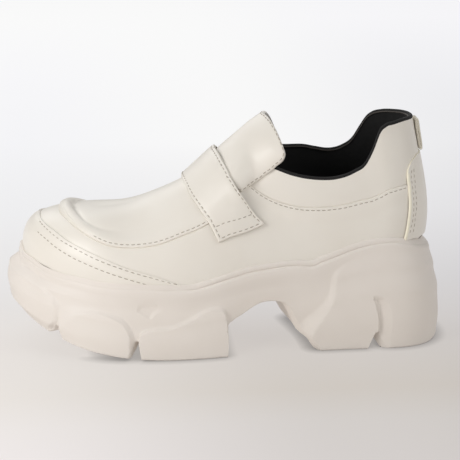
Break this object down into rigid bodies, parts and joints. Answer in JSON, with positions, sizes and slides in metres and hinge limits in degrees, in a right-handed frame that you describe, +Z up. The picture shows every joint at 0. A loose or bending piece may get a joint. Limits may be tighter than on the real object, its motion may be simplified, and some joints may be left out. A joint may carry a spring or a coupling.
{
  "type": "platform loafer",
  "caption": "Slip-on platform loafer: chunky moulded sole with lugs and a block heel, moc-toe upper, saddle strap, raised tongue and a scooped collar.",
  "frame": {"origin": "centre of the bounding box's base, on the floor under the sole", "axes": "+X towards the back of the heel, -X towards the toe, -Y the outer side of the left foot, +Z up"},
  "size_m": [0.2782, 0.112, 0.1469],
  "materials": {
    "sole": "matt moulded ivory",
    "insole": "black textile",
    "upper": "smooth ivory, satin",
    "tongue": "smooth ivory, satin",
    "saddle_strap": "smooth ivory, satin",
    "heel_counter": "smooth ivory, satin",
    "pull_loop": "cream woven webbing"
  },
  "bodies": {
    "root": {"sole": "sole", "insole": "insole", "upper": "upper", "tongue": "tongue", "saddle_strap": "saddle_strap", "heel_counter": "heel_counter", "pull_loop": "pull_loop"}
  },
  "joints": []
}
